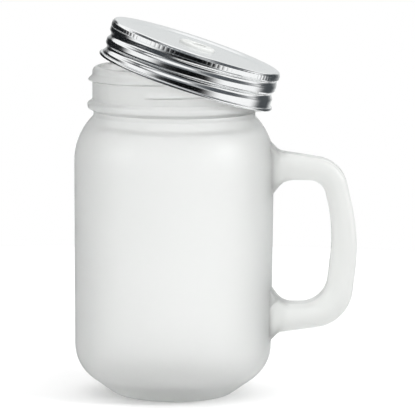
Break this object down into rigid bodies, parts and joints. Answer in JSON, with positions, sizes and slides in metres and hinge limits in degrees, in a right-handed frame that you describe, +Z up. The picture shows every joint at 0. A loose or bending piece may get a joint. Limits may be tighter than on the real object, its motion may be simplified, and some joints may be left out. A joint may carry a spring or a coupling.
{
  "type": "jar mug",
  "caption": "Frosted glass jar mug with an applied D-shaped handle and a threaded neck; its tinplate screw lid, with a collar for a straw, is perched tilted on the rim.",
  "frame": {"origin": "centre of the jar's foot, on the surface that it stands on", "axes": "+Z up along the jar's axis, +X towards the handle, +Y away from the picture's camera"},
  "size_m": [0.1134, 0.08, 0.1515],
  "materials": {
    "frosted_glass": "acid-etched satin",
    "tinplate": "bright tin plating",
    "seal_rubber": "matt",
    "silicone": "translucent matt"
  },
  "bodies": {
    "jar": {"jar_body": "frosted_glass", "jar_handle": "frosted_glass"},
    "seal_ring": {"lid_seal": "seal_rubber"},
    "lid": {"lid_shell": "tinplate", "straw_grommet": "silicone"}
  },
  "joints": [
    {"name": "lid_lift", "type": "slide", "parent": "jar", "child": "seal_ring", "axis": [0, 0, 1], "range_m": [0, 0.07]},
    {"name": "lid_turn", "type": "hinge", "parent": "seal_ring", "child": "lid", "pos_m": [0.0042, -0.00022, 0.12613], "axis": [0.3103, -0.0163, 0.9505], "continuous": true}
  ]
}
